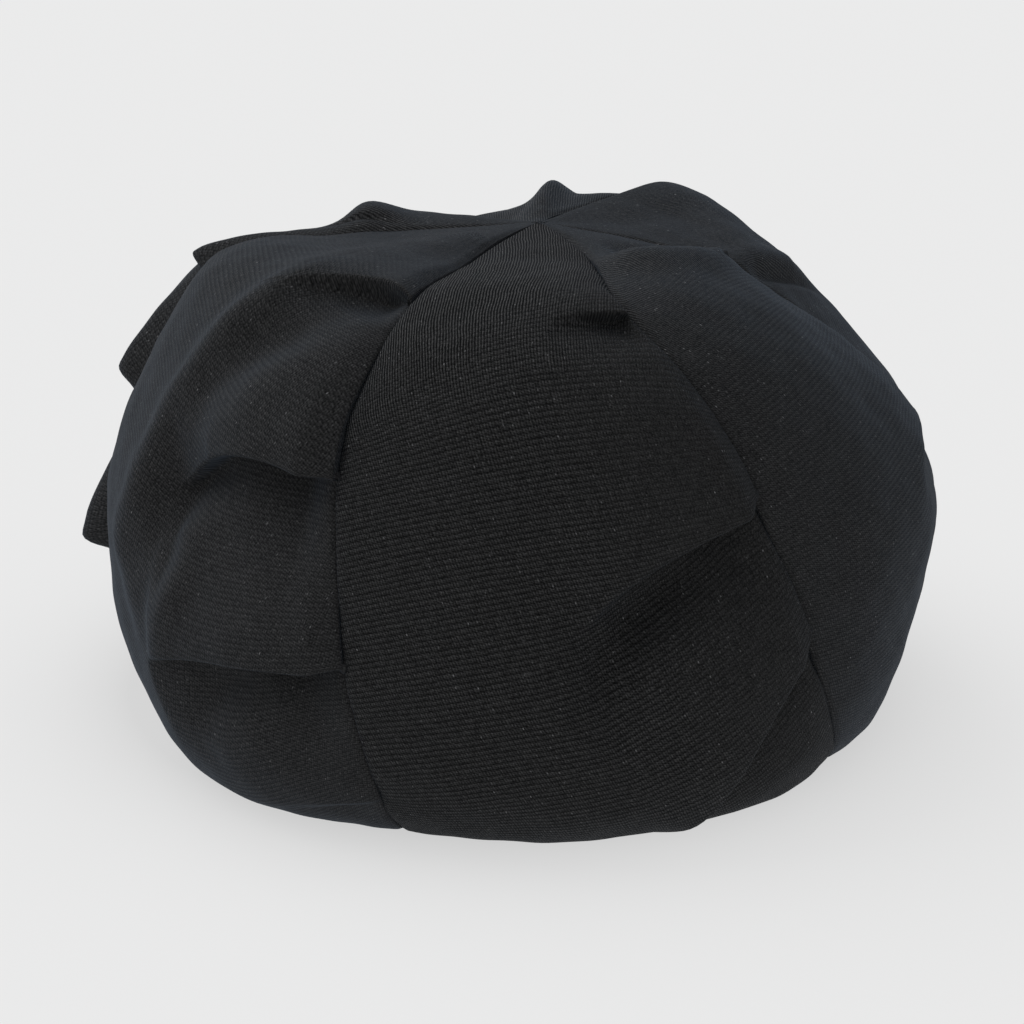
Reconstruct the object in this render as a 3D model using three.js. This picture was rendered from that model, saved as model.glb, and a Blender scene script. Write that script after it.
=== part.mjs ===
import * as THREE from 'three';

// Baker boy cap in millimetres, +Z up. The rear of the cap faces -Y, the peak points along +Y
// and the headband stands on z = 0. Six gathered crown panels, a headband and a short peak.
// Angles round the cap run from the rear centre (0) through the +X side (90) to the peak (180).

const deg = Math.PI / 180;
const cloth = { wall: 1.6, seamGap: 0.5, length: 265 };
const band = { sideRadius: 85, frontRadius: 93.5, wall: 2.2, height: 30, segments: 64 };
const peak = {
  halfAngle: 61, root: 3, reach: 54, thickness: 3.6, rim: 0.45, clearance: 0.35,
  arch: 5.2, droop: 2.4, lift: 0.4, across: 32, along: 6,
};

const table = (columns, rows) =>
  rows.map((row) => Object.fromEntries(columns.map((name, i) => [name, row[i]])));

// Outline of the crown from the apex, over the shoulder, down to the hem and up behind it to the band:
// height at the rear and over the peak, half width, reach to the rear and to the front, lean to +X.
const sections = table(
  ['name', 'zRear', 'zFront', 'side', 'rear', 'front', 'lean'],
  [
    ['apex', 140.5, 140.5, 0, 0, 0, 5.7],
    ['top', 136.5, 139.4, 45, 35, 38.8, 1.2],
    ['shoulder', 133.9, 123.9, 74.7, 74.2, 77.8, -4.9],
    ['brow', 114.7, 111.8, 93.9, 100, 109.4, -2.4],
    ['upper side', 75.9, 83, 115.4, 111.4, 124.8, 1.2],
    ['side', 42.8, 52.1, 112.9, 118.8, 126.1, -1.1],
    ['lower side', 17.5, 28, 104.3, 115.7, 118, 0],
    ['hem', 2.6, 13, 98.9, 103.1, 108, 0],
    ['tuck', 6, 15, 91, 98.3, 99, 0],
    ['band join', 25, 25, 87.7, 96.2, 96.2, 0],
  ],
);

// Angle of the seam on each panel's -X side (rear panel first, then on round),
// at six stations down the cloth.
const panels = table(
  ['name', 'atApex', 'at20', 'at40', 'at60', 'at80', 'atBand'],
  [
    ['crown_panel_rear', -39.7, -24.7, -31.6, -25.4, -23.6, -23.2],
    ['crown_panel_rear_right', 34.4, 17, 24.8, 37, 50.4, 47],
    ['crown_panel_front_right', 73.8, 70.6, 78.6, 86.2, 95.1, 98],
    ['crown_panel_front', 140, 130, 140, 150, 155, 157],
    ['crown_panel_front_left', 200, 200, 206, 212, 215, 216],
    ['crown_panel_rear_left', 258, 252, 258, 266, 272, 274],
  ],
);

// Broad dents and swellings of the slumped crown: angle and share of the way down, their spreads, height.
const dents = table(
  ['angle', 'down', 'angleSpread', 'downSpread', 'height'],
  [
    [-140, 0.24, 38, 0.12, -5.6],
    [128, 0.19, 20, 0.08, 7.6],
    [74, 0.26, 28, 0.12, -7.7],
    [48, 0.62, 22, 0.12, 1.6],
    [-50, 0.64, 24, 0.12, 7.2],
    [195, 0.1, 22, 0.06, -9.4],
    [-95, 0.5, 14, 0.09, -2.1],
  ],
);

// Four pleats a panel, tucked into the seam on its +angle side: place at the seam, halfway and
// at the end, reach across the panel, height of the upper lip, depth of the hollow under it,
// spreads above and below in mm, share that still stands open at the seam, how fast it fades,
// and mm by which the fold spreads away from the seam (or, below zero, towards it).
const pleats = table(
  [
    'panel', 'atSeam', 'halfway', 'atEnd', 'reach', 'lip', 'hollow', 'above', 'below', 'pinch',
    'fade', 'open',
  ],
  [
    [0, 0.25, 0.25, 0.262, 0.4, 1.5, 6.5, 12, 8, 0, 0.8, 1],
    [0, 0.402, 0.432, 0.49, 0.5, 5, 10, 26, 16, 0.4, 0.55, 2],
    [0, 0.51, 0.6, 0.77, 0.5, 4.5, 6, 26, 16, 0.5, 0.5, 0],
    [0, 0.68, 0.76, 0.83, 0.45, 0, 0, 18, 14, 0.3, 1.1, 2],
    [1, 0.17, 0.172, 0.19, 0.3, 2.5, 1, 12, 12, 0.8, 1, 2],
    [1, 0.4, 0.42, 0.45, 0.4, 3.5, 3, 22, 18, 0.3, 1.1, 5],
    [1, 0.54, 0.58, 0.62, 0.45, 4, 4, 22, 18, 0.3, 1.1, 5],
    [1, 0.66, 0.7, 0.74, 0.4, 2, 3, 18, 14, 0.3, 1.1, 5],
    [2, 0.19, 0.2, 0.24, 0.5, 5, 5, 20, 20, 0.3, 1.1, 4],
    [2, 0.35, 0.38, 0.44, 0.5, 5, 5, 22, 20, 0.3, 1.1, 4],
    [2, 0.5, 0.54, 0.59, 0.5, 5, 5, 22, 20, 0.3, 1.1, 4],
    [2, 0.64, 0.68, 0.72, 0.45, 3, 3, 18, 14, 0.3, 1.1, 4],
    [3, 0.16, 0.16, 0.18, 0.4, 1, 3, 14, 16, 0.3, 1.1, 4],
    [3, 0.3, 0.33, 0.4, 0.5, 5, 5, 22, 20, 0.3, 1.1, 4],
    [3, 0.47, 0.51, 0.56, 0.5, 5, 5, 22, 20, 0.3, 1.1, 4],
    [3, 0.62, 0.66, 0.7, 0.45, 3, 3, 18, 14, 0.3, 1.1, 4],
    [4, 0.12, 0.125, 0.15, 0.5, 0, 0, 10, 12, 0, 0.8, 4],
    [4, 0.29, 0.304, 0.34, 0.6, 8.5, 2, 26, 14, 0.05, 0.5, -3],
    [4, 0.41, 0.424, 0.46, 0.6, 9.5, 0.5, 24, 14, 0.05, 0.5, -4],
    [4, 0.55, 0.563, 0.586, 0.6, 16.5, 0.5, 19, 14, 0.05, 0.5, -8],
    [5, 0.218, 0.206, 0.24, 0.3, 3, 6, 20, 10, 0.5, 0.6, 1],
    [5, 0.388, 0.383, 0.42, 0.42, 6, 12, 22, 24, 0.4, 0.6, 1],
    [5, 0.522, 0.538, 0.575, 0.55, 5, 9, 26, 20, 0.4, 0.6, 1.5],
    [5, 0.67, 0.7, 0.74, 0.4, 0.5, 1, 18, 14, 0.3, 1.1, 5],
  ],
);

// Ridges and, below zero, valleys: curves from, by way of and to (share across, share down),
// half width and height.
const ridges = table(
  [
    'panel', 'fromAcross', 'fromDown', 'byAcross', 'byDown', 'toAcross', 'toDown', 'spread',
    'height',
  ],
  [
    [5, 0.85, 0.06, 0.7, 0.13, 0.7, 0.24, 11, 2.5],
    [5, 0.7, 0.22, 0.6, 0.325, 0.43, 0.47, 6, 3.5],
    [5, 0.86, 0.238, 0.76, 0.304, 0.6, 0.379, 9, -3.5],
    [5, 0.85, 0.303, 0.76, 0.347, 0.58, 0.391, 7, 1.5],
    [5, 0.62, 0.405, 0.61, 0.43, 0.654, 0.463, 7, -2.5],
    [5, 0.44, 0.46, 0.48, 0.505, 0.55, 0.545, 6, 2],
    [1, 0.02, 0.13, 0.4, 0.166, 0.93, 0.17, 7, 4],
    [1, 0.25, 0.1, 0.6, 0.108, 0.9, 0.148, 6, -2.5],
    [2, 0.05, 0.216, 0.2, 0.264, 0.3, 0.31, 3.5, -3],
    [2, 0.08, 0.18, 0.25, 0.235, 0.35, 0.28, 7, 2],
    [0, 0.516, 0.47, 0.47, 0.503, 0.51, 0.57, 9, -2.5],
    [4, 0.9, 0.113, 0.75, 0.12, 0.45, 0.145, 6, 5],
    [3, 0.44, 0.04, 0.42, 0.12, 0.38, 0.2, 5, 4.9],
  ],
);

const relief = {
  puff: 3, puffOver: 0.2, pleatsOver: 0.06, fadeFrom: 0.7, fadeOver: 0.14, foldHalf: 1.6,
  lipOver: 0.15, hollowOver: 0.25, seamHold: 0.45, seamDepth: 0.7, ridgeSteps: 32,
};
const mesh = { columns: 14, towardsSeam: 1.25, startDown: 0.004, rowsBetween: [3, 2, 2, 2, 11] };
const tone = { crown: 0x2a2b2e, band: 0x232427, peak: 0x26272a, roughness: 0.95 };

const clamp = (x, low, high) => Math.min(high, Math.max(low, x));
const ease = (x) => { const c = clamp(x, 0, 1); return c * c * (3 - 2 * c); };

const knit = (color) => new THREE.MeshStandardMaterial({ color, roughness: tone.roughness });

// Smooth curve through evenly spaced values.
function through(values, share) {
  const last = values.length - 1;
  const s = clamp(share, 0, 1 - 1e-9) * last;
  const i = Math.floor(s);
  const f = s - i;
  const b = values[i];
  const c = values[i + 1];
  const a = i > 0 ? values[i - 1] : 2 * b - c;
  const d = i + 2 <= last ? values[i + 2] : 2 * c - b;
  const curved = (2 * a - 5 * b + 4 * c - d) * f * f + (3 * b - a - 3 * c + d) * f ** 3;
  return 0.5 * (2 * b + (c - a) * f + curved);
}

const pleatsOf = (panel) => pleats.filter((pleat) => pleat.panel === panel % panels.length);
const column = (key) => sections.map((section) => section[key]);
const outline = {
  zRear: column('zRear'),
  zFront: column('zFront'),
  side: column('side'),
  rear: column('rear'),
  front: column('front'),
  lean: column('lean'),
};

// The crown before its folds: elliptical rings, the front half lifted over the peak.
function plainPoint(angle, down) {
  const c = Math.cos(angle);
  const s = Math.sin(angle);
  const side = Math.max(through(outline.side, down), 1e-6);
  const reach = Math.max(through(c > 0 ? outline.rear : outline.front, down), 1e-6);
  const radius = 1 / Math.hypot(s / side, c / reach);
  const zRear = through(outline.zRear, down);
  const z = zRear + (through(outline.zFront, down) - zRear) * ease((-c - 0.1) / 0.7);
  return new THREE.Vector3(radius * s + through(outline.lean, down), -radius * c, z);
}

function plainNormal(angle, down) {
  const e = 1e-4;
  const t = clamp(down, 2e-3, 1 - 2 * e);
  const round = plainPoint(angle + e, t).sub(plainPoint(angle - e, t));
  const fall = plainPoint(angle, t + e).sub(plainPoint(angle, t - e));
  return fall.cross(round).normalize();
}

function seamAngle(index, down) {
  const row = panels[index % panels.length];
  const stations = [row.atApex, row.at20, row.at40, row.at60, row.at80, row.atBand];
  return (through(stations, down) + (index >= panels.length ? 360 : 0)) * deg;
}

// Where a pleat lies at a share across its panel; past its reach the line eases over
// to meet the neighbour's pleat at the far seam.
function pleatDown(slot, panel, across) {
  const pleat = pleatsOf(panel)[slot];
  const x = (1 - across) / pleat.reach;
  const slope = 4 * pleat.halfway - 3 * pleat.atSeam - pleat.atEnd;
  const bend = 2 * pleat.atEnd - 4 * pleat.halfway + 2 * pleat.atSeam;
  if (x <= 1) return pleat.atSeam + slope * x + bend * x * x;
  const span = 1 / pleat.reach - 1;
  const f = (x - 1) / span;
  const leave = (slope + 2 * bend) * span * 0.5;
  const meet = pleatsOf(panel + panels.length - 1)[slot].atSeam;
  return pleat.atEnd * (1 - f) ** 2 * (1 + 2 * f) + leave * f * (1 - f) ** 2 + meet * f * f * (3 - 2 * f);
}

// Half the breadth of the fold itself, which meets the neighbour's at the far seam.
function foldHalf(slot, panel, across) {
  const pleat = pleatsOf(panel)[slot];
  const x = (1 - across) / pleat.reach;
  const off = ease(x);
  const own = pleat.open > 0 ? pleat.open * off : -pleat.open * (1 - off);
  const meet = Math.max(-pleatsOf(panel + panels.length - 1)[slot].open, 0);
  const far = ease((x - 1) / (1 / pleat.reach - 1));
  return (relief.foldHalf + own + (meet - own) * far) / cloth.length;
}

// How far a pleat stands open: at the seam its lip is pinched, and its hollow more so.
function openingOf(pleat, across) {
  const x = (1 - across) / pleat.reach;
  const left = x >= 1 ? 0 : (1 - x) ** pleat.fade;
  const held = pleat.pinch * relief.seamHold;
  return {
    lip: (pleat.pinch + (1 - pleat.pinch) * ease(x / relief.lipOver)) * left,
    hollow: (held + (1 - held) * ease(x / relief.hollowOver)) * left,
  };
}

function pleatHeight(slot, panel, across, down) {
  const pleat = pleatsOf(panel)[slot];
  const half = foldHalf(slot, panel, across);
  const offset = down - pleatDown(slot, panel, across);
  const below = offset * cloth.length;
  const opening = openingOf(pleat, across);
  const lip = opening.lip * pleat.lip * Math.exp(-((Math.min(below, 0) / pleat.above) ** 2));
  const hollow = -opening.hollow * pleat.hollow * Math.exp(-((Math.max(below, 0) / pleat.below) ** 2));
  const past = ease((offset + half) / (2 * half));
  return lip * (1 - past) + hollow * past;
}

function ridgeHeight(ridge, across, down) {
  const turn = seamAngle(ridge.panel + 1, down) - seamAngle(ridge.panel, down);
  const wide = turn * through(outline.side, down);
  let nearest = { gap: Infinity, run: 0 };
  for (let step = 0; step <= relief.ridgeSteps; step++) {
    const run = step / relief.ridgeSteps;
    const start = (1 - run) * (1 - 2 * run);
    const by = 4 * run * (1 - run);
    const end = run * (2 * run - 1);
    const overAcross = start * ridge.fromAcross + by * ridge.byAcross + end * ridge.toAcross;
    const overDown = start * ridge.fromDown + by * ridge.byDown + end * ridge.toDown;
    const gap = Math.hypot((across - overAcross) * wide, (down - overDown) * cloth.length);
    if (gap < nearest.gap) nearest = { gap, run };
  }
  const fade = Math.sqrt(Math.sin(Math.PI * (0.05 + 0.9 * nearest.run)));
  return ridge.height * fade * Math.exp(-((nearest.gap / ridge.spread) ** 2));
}

const hemFade = (down) => 1 - ease((down - relief.fadeFrom) / relief.fadeOver);

function reliefHeight(panel, across, down, angle) {
  let height = 0;
  for (const dent of dents) {
    const turn = ((angle / deg - dent.angle + 900) % 360) - 180;
    const away = (turn / dent.angleSpread) ** 2 + ((down - dent.down) / dent.downSpread) ** 2;
    height += dent.height * Math.exp(-away);
  }
  height += relief.puff * (1 - Math.abs(2 * across - 1) ** 3) * ease(down / relief.puffOver);
  for (let slot = 0; slot < pleatsOf(panel).length; slot++) {
    height += pleatHeight(slot, panel, across, down) * ease(down / relief.pleatsOver);
  }
  for (const ridge of ridges) {
    if (ridge.panel === panel) height += ridgeHeight(ridge, across, down);
  }
  return height * hemFade(down);
}

// Rows of cloth down a panel follow its pleats, with a close pair of rows at every fold. The
// back of the cloth is carried up beside the fold, so that the fold's face is as thick as the rest.
function rowsAt(panel, across) {
  const folds = pleatsOf(panel).map((pleat, slot) => {
    const half = foldHalf(slot, panel, across);
    const down = pleatDown(slot, panel, across);
    const opening = openingOf(pleat, across);
    const drop = (pleat.lip * opening.lip + pleat.hollow * opening.hollow) * hemFade(down);
    const steepness = Math.abs(drop) / Math.hypot(drop, 2 * half * cloth.length);
    return { lip: down - half, hollow: down + half, carry: (cloth.wall / cloth.length) * steepness };
  });
  const froms = [
    { down: mesh.startDown, carry: 0 },
    ...folds.map(({ hollow, carry }) => ({ down: hollow, carry })),
  ];
  const tos = [...folds.map(({ lip, carry }) => ({ down: lip, carry })), { down: 1, carry: 0 }];
  return froms.flatMap((from, part) => {
    const steps = mesh.rowsBetween[part];
    return Array.from({ length: steps + 1 }, (_, i) => ({
      down: from.down + ((tos[part].down - from.down) * i) / steps,
      carry: i === 0 ? from.carry : i === steps ? tos[part].carry : 0,
    }));
  });
}

// A closed shell from two matching grids, the first one facing outward.
function shell(name, outer, inner, color) {
  const columns = outer.length;
  const rows = outer[0].length;
  const positions = [];
  for (const point of [outer, inner].flat(2)) positions.push(point.x, point.y, point.z);
  const at = (side, i, j) => side * columns * rows + i * rows + j;
  const index = [];
  const quad = (a, b, c, d) => index.push(a, b, c, a, c, d);
  for (let i = 0; i + 1 < columns; i++) {
    for (let j = 0; j + 1 < rows; j++) {
      quad(at(0, i, j), at(0, i, j + 1), at(0, i + 1, j + 1), at(0, i + 1, j));
      quad(at(1, i, j), at(1, i + 1, j), at(1, i + 1, j + 1), at(1, i, j + 1));
    }
    quad(at(0, i, 0), at(0, i + 1, 0), at(1, i + 1, 0), at(1, i, 0));
    quad(at(0, i + 1, rows - 1), at(0, i, rows - 1), at(1, i, rows - 1), at(1, i + 1, rows - 1));
  }
  const end = columns - 1;
  for (let j = 0; j + 1 < rows; j++) {
    quad(at(0, 0, j + 1), at(0, 0, j), at(1, 0, j), at(1, 0, j + 1));
    quad(at(0, end, j + 1), at(1, end, j + 1), at(1, end, j), at(0, end, j));
  }
  const geometry = new THREE.BufferGeometry();
  geometry.setAttribute('position', new THREE.Float32BufferAttribute(positions, 3));
  geometry.setIndex(index);
  geometry.computeVertexNormals();
  const piece = new THREE.Mesh(geometry, knit(color));
  piece.name = name;
  return piece;
}

// Turn that leaves half a seam gap beside a seam.
function seamInset(angle, down) {
  const point = plainPoint(angle, down);
  return cloth.seamGap / 2 / Math.hypot(point.x - through(outline.lean, down), point.y);
}

const place = (angle, down, height) =>
  plainPoint(angle, down).addScaledVector(plainNormal(angle, down), height);

// One panel of the crown. Along its +angle edge the cloth turns in as the seam's allowance,
// which also closes the ends of the pleats that stand open there.
function crownPanel(panel) {
  const outer = [];
  const inner = [];
  for (let i = 0; i <= mesh.columns; i++) {
    const across = 1 - (1 - i / mesh.columns) ** mesh.towardsSeam;
    const atSeam = i === mesh.columns;
    const lines = { outer: [], inner: [], turned: [], turnedInner: [] };
    for (const { down, carry } of rowsAt(panel, across)) {
      const from = seamAngle(panel, down);
      const to = seamAngle(panel + 1, down);
      const insetFrom = seamInset(from, down);
      const insetTo = seamInset(to, down);
      const span = to - from - insetFrom - insetTo;
      const angle = from + insetFrom + span * across;
      const thickness = (insetTo * cloth.wall) / (cloth.seamGap / 2);
      const wallTurn = Math.min(thickness, span / 4) * ease(down / relief.pleatsOver);
      const innerAngle = atSeam ? angle - wallTurn : angle;
      const height = reliefHeight(panel, across, down, angle);
      lines.outer.push(place(angle, down, height));
      lines.inner.push(place(innerAngle, down - carry, height - cloth.wall));
      const depth = Math.min(height, 0) - cloth.wall - relief.seamDepth * hemFade(down);
      lines.turned.push(place(angle, down, depth));
      lines.turnedInner.push(place(innerAngle, down - carry, depth));
    }
    outer.push(lines.outer);
    inner.push(lines.inner);
    if (atSeam) {
      outer.push(lines.turned);
      inner.push(lines.turnedInner);
    }
  }
  return shell(panels[panel].name, outer, inner, tone.crown);
}

// Oval ring of doubled cloth that goes round the head.
function headband() {
  const ring = (grow, z) => {
    const points = [];
    for (let i = 0; i < band.segments; i++) {
      const a = (i / band.segments) * 2 * Math.PI;
      const x = (band.sideRadius + grow) * Math.sin(a);
      const y = -(band.frontRadius + grow) * Math.cos(a);
      points.push(new THREE.Vector3(x, y, z));
    }
    return points;
  };
  const loops = [ring(0, 0), ring(band.wall, 0), ring(band.wall, band.height), ring(0, band.height)];
  const positions = loops.flat().flatMap((p) => [p.x, p.y, p.z]);
  const index = [];
  for (let side = 0; side < loops.length; side++) {
    const here = side * band.segments;
    const there = ((side + 1) % loops.length) * band.segments;
    for (let i = 0; i < band.segments; i++) {
      const j = (i + 1) % band.segments;
      index.push(here + i, here + j, there + j, here + i, there + j, there + i);
    }
  }
  const geometry = new THREE.BufferGeometry();
  geometry.setAttribute('position', new THREE.Float32BufferAttribute(positions, 3));
  geometry.setIndex(index);
  geometry.computeVertexNormals();
  const piece = new THREE.Mesh(geometry, knit(tone.band));
  piece.name = 'headband';
  return piece;
}

// Crescent peak: arched across, its free edge drooping a little, meeting the band along its inner edge.
function peakPiece() {
  const top = [];
  const bottom = [];
  for (let i = 0; i <= peak.across; i++) {
    const share = (i / peak.across) * 2 - 1;
    const angle = (180 + share * peak.halfAngle) * deg;
    const crown = Math.cos(share * 90 * deg);
    const reach = peak.root + peak.reach * crown ** 0.8;
    const topLine = [];
    const bottomLine = [];
    for (let j = 0; j <= peak.along; j++) {
      const out = j / peak.along;
      const grow = band.wall + peak.clearance + reach * out;
      const x = (band.sideRadius + grow) * Math.sin(angle);
      const y = -(band.frontRadius + grow) * Math.cos(angle);
      const under = peak.lift + peak.arch * crown ** 1.5 - peak.droop * crown * out * out;
      const rim = out === 1 ? peak.rim : 1;
      const middle = under + peak.thickness / 2;
      topLine.push(new THREE.Vector3(x, y, middle + (peak.thickness / 2) * rim));
      bottomLine.push(new THREE.Vector3(x, y, middle - (peak.thickness / 2) * rim));
    }
    top.push(topLine);
    bottom.push(bottomLine);
  }
  return shell('peak', top, bottom, tone.peak);
}

const group = new THREE.Group();
group.name = 'baker_boy_cap';
for (let panel = 0; panel < panels.length; panel++) group.add(crownPanel(panel));
group.add(headband(), peakPiece());

// Stand the cap over the middle of its own footprint.
group.updateMatrixWorld(true);
const box = new THREE.Box3().setFromObject(group, true);
const shift = new THREE.Vector3(-(box.min.x + box.max.x) / 2, -(box.min.y + box.max.y) / 2, -box.min.z);
for (const piece of group.children) piece.geometry.translate(shift.x, shift.y, shift.z);

export default group;
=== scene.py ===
import bpy
import math
import numpy as np
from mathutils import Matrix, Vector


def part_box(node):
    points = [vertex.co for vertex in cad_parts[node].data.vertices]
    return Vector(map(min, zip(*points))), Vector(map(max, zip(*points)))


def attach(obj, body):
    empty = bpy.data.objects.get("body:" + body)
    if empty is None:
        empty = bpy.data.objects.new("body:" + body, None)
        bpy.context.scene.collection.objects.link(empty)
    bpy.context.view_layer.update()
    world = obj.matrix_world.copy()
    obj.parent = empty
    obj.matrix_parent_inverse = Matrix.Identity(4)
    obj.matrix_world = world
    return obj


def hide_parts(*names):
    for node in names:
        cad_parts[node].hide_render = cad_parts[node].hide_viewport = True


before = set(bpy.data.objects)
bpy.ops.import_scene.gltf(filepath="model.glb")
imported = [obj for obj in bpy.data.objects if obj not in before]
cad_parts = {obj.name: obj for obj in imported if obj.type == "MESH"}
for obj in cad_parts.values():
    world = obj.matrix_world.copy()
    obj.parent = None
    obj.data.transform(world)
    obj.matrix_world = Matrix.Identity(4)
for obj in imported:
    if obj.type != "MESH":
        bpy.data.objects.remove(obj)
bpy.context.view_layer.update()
bpy.ops.object.select_all(action="DESELECT")
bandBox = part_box("headband")
# The crown is laid out in millimetres round the middle of the headband, where it stands.
middle = np.array([(bandBox[0][0] + bandBox[1][0]) / 2, (bandBox[0][1] + bandBox[1][1]) / 2, bandBox[0][2]])
print("frame loaded, middle of the band at", [round(float(value), 4) for value in middle])


# Node helpers
def newGroup(name, inputs, outputs):
    group = bpy.data.node_groups.new(name, "ShaderNodeTree")
    for label, kind, value in inputs:
        socket = group.interface.new_socket(name=label, in_out="INPUT", socket_type=kind)
        if value is not None:
            socket.default_value = value
    for label, kind in outputs:
        group.interface.new_socket(name=label, in_out="OUTPUT", socket_type=kind)
    return group, group.nodes.new("NodeGroupInput"), group.nodes.new("NodeGroupOutput")


def calc(tree, operation, *values, clamp=False):
    node = tree.nodes.new("ShaderNodeMath")
    node.operation = operation
    node.use_clamp = clamp
    for value, socket in zip(values, node.inputs):
        if isinstance(value, (int, float)):
            socket.default_value = value
        else:
            tree.links.new(value, socket)
    return node.outputs[0]


# Camera, floor and lights: angles in degrees, lengths in metres, the aim from the middle of the band
studio = {
    "azimuth": -7, "elevation": 18.4, "distance": 0.650, "aim": (-0.0017, 0.0005, 0.0554),
    "lens": 78.6, "sensor": 36, "nearest": 0.01,
    "floorSize": 12, "floorTone": 0.113, "floorGlow": 0.72,
    # A painted shadow on the floor round the cap: its reach from the band's middle, its blur and its depth.
    "paintedShadowReach": (0.112, 0.112), "paintedShadowBlur": 0.022, "paintedShadowDepth": 0.18,
    "roomTone": (0.50, 0.505, 0.515), "roomStrength": 1.0,
    "keyTurn": (-22, -38, 0), "keyStrength": 1.93, "keySpread": 60,
}


def addCamera():
    azimuth, elevation = math.radians(studio["azimuth"]), math.radians(studio["elevation"])
    level, rise = math.cos(elevation) * studio["distance"], math.sin(elevation) * studio["distance"]
    back = np.array([math.sin(azimuth) * level, -math.cos(azimuth) * level, rise])
    place = middle + np.array(studio["aim"]) + back
    bpy.ops.object.camera_add(location=place.tolist(), rotation=(math.pi / 2 - elevation, 0, azimuth))
    camera = bpy.context.object
    camera.name = "studioCamera"
    camera.data.lens = studio["lens"]
    camera.data.sensor_width = studio["sensor"]
    camera.data.clip_start = studio["nearest"]
    bpy.context.scene.camera = camera


def addFloor():
    bpy.ops.mesh.primitive_plane_add(size=studio["floorSize"])
    floor = bpy.context.object
    floor.name = "studioFloor"
    paper = bpy.data.materials.new("studioPaper")
    paper.use_nodes = True
    tree = paper.node_tree
    shader = tree.nodes["Principled BSDF"]
    shader.inputs["Base Color"].default_value = (studio["floorTone"],) * 3 + (1,)
    shader.inputs["Roughness"].default_value = 1
    shader.inputs["Specular IOR Level"].default_value = 0
    shader.inputs["Emission Color"].default_value = (1, 1, 1, 1)
    # The glow evens out the paper, and a painted shadow dims it a little round where the cap stands, on top
    # of the real shadow on the paper's diffuse part.
    spot = tree.nodes.new("ShaderNodeTexCoord")
    split = tree.nodes.new("ShaderNodeSeparateXYZ")
    tree.links.new(spot.outputs["Object"], split.inputs[0])
    squares = []
    for axis, reach in zip("XY", studio["paintedShadowReach"]):
        squares.append(calc(tree, "POWER", calc(tree, "DIVIDE", split.outputs[axis], reach), 2))
    gap = calc(tree, "SQRT", calc(tree, "ADD", *squares))
    outside = calc(tree, "MULTIPLY", calc(tree, "SUBTRACT", gap, 1), studio["paintedShadowReach"][0])
    past = calc(tree, "MAXIMUM", outside, 0)
    fade = calc(tree, "EXPONENT", calc(tree, "DIVIDE", past, -studio["paintedShadowBlur"]))
    left = calc(tree, "SUBTRACT", 1, calc(tree, "MULTIPLY", fade, studio["paintedShadowDepth"]))
    glow = calc(tree, "MULTIPLY", left, studio["floorGlow"])
    tree.links.new(glow, shader.inputs["Emission Strength"])
    floor.data.materials.append(paper)


def addLights():
    world = bpy.data.worlds.new("softRoom")
    world.use_nodes = True
    sky = world.node_tree.nodes["Background"]
    sky.inputs["Color"].default_value = studio["roomTone"] + (1,)
    sky.inputs["Strength"].default_value = studio["roomStrength"]
    bpy.context.scene.world = world
    bpy.context.scene.view_settings.view_transform = "Standard"
    bpy.ops.object.light_add(type="SUN", rotation=[math.radians(turn) for turn in studio["keyTurn"]])
    key = bpy.context.object
    key.name = "keyLight"
    key.data.energy = studio["keyStrength"]
    key.data.angle = math.radians(studio["keySpread"])


addCamera()
addFloor()
addLights()
print("camera, floor and lights placed")


# Knitted cloth. A noise is given by its scale, detail and strength, and lengths are in metres.
knit = {
    "ribDrift": ((110, 2, 0.4), (800, 1, 0.3)), "columnDrift": ((110, 1, 1.2), (700, 1, 0.45)),
    "pullSlope": 0.2, "pullOver": 0.036, "pullPatches": (60, 2, 1.8),
    "ribShow": (0.05, 0.8), "ribPatches": (420, 1, 1), "loopShow": (1, -0.3), "loopPatches": (700, 1, 1),
    "patchBase": 0.95, "ribRise": 0.3, "ribFall": 0.6, "ribRound": 0.3,
    "slackOver": 0.03, "slackFade": -0.62, "usualHeight": (0.51, -0.09), "pulledBoost": (2.0, -1.1),
    "steepMarks": 0.55, "slightMarks": 0.28,
    "fleckSize": (0.00028, 0.0005), "fleckTone": 0.5, "lintPower": 350,
    "stitchTone": (0.6, 0.3), "fibre": (2600, 1, 2.4), "darkest": (0.02, 0.05), "toneScale": 0.28,
}


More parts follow.
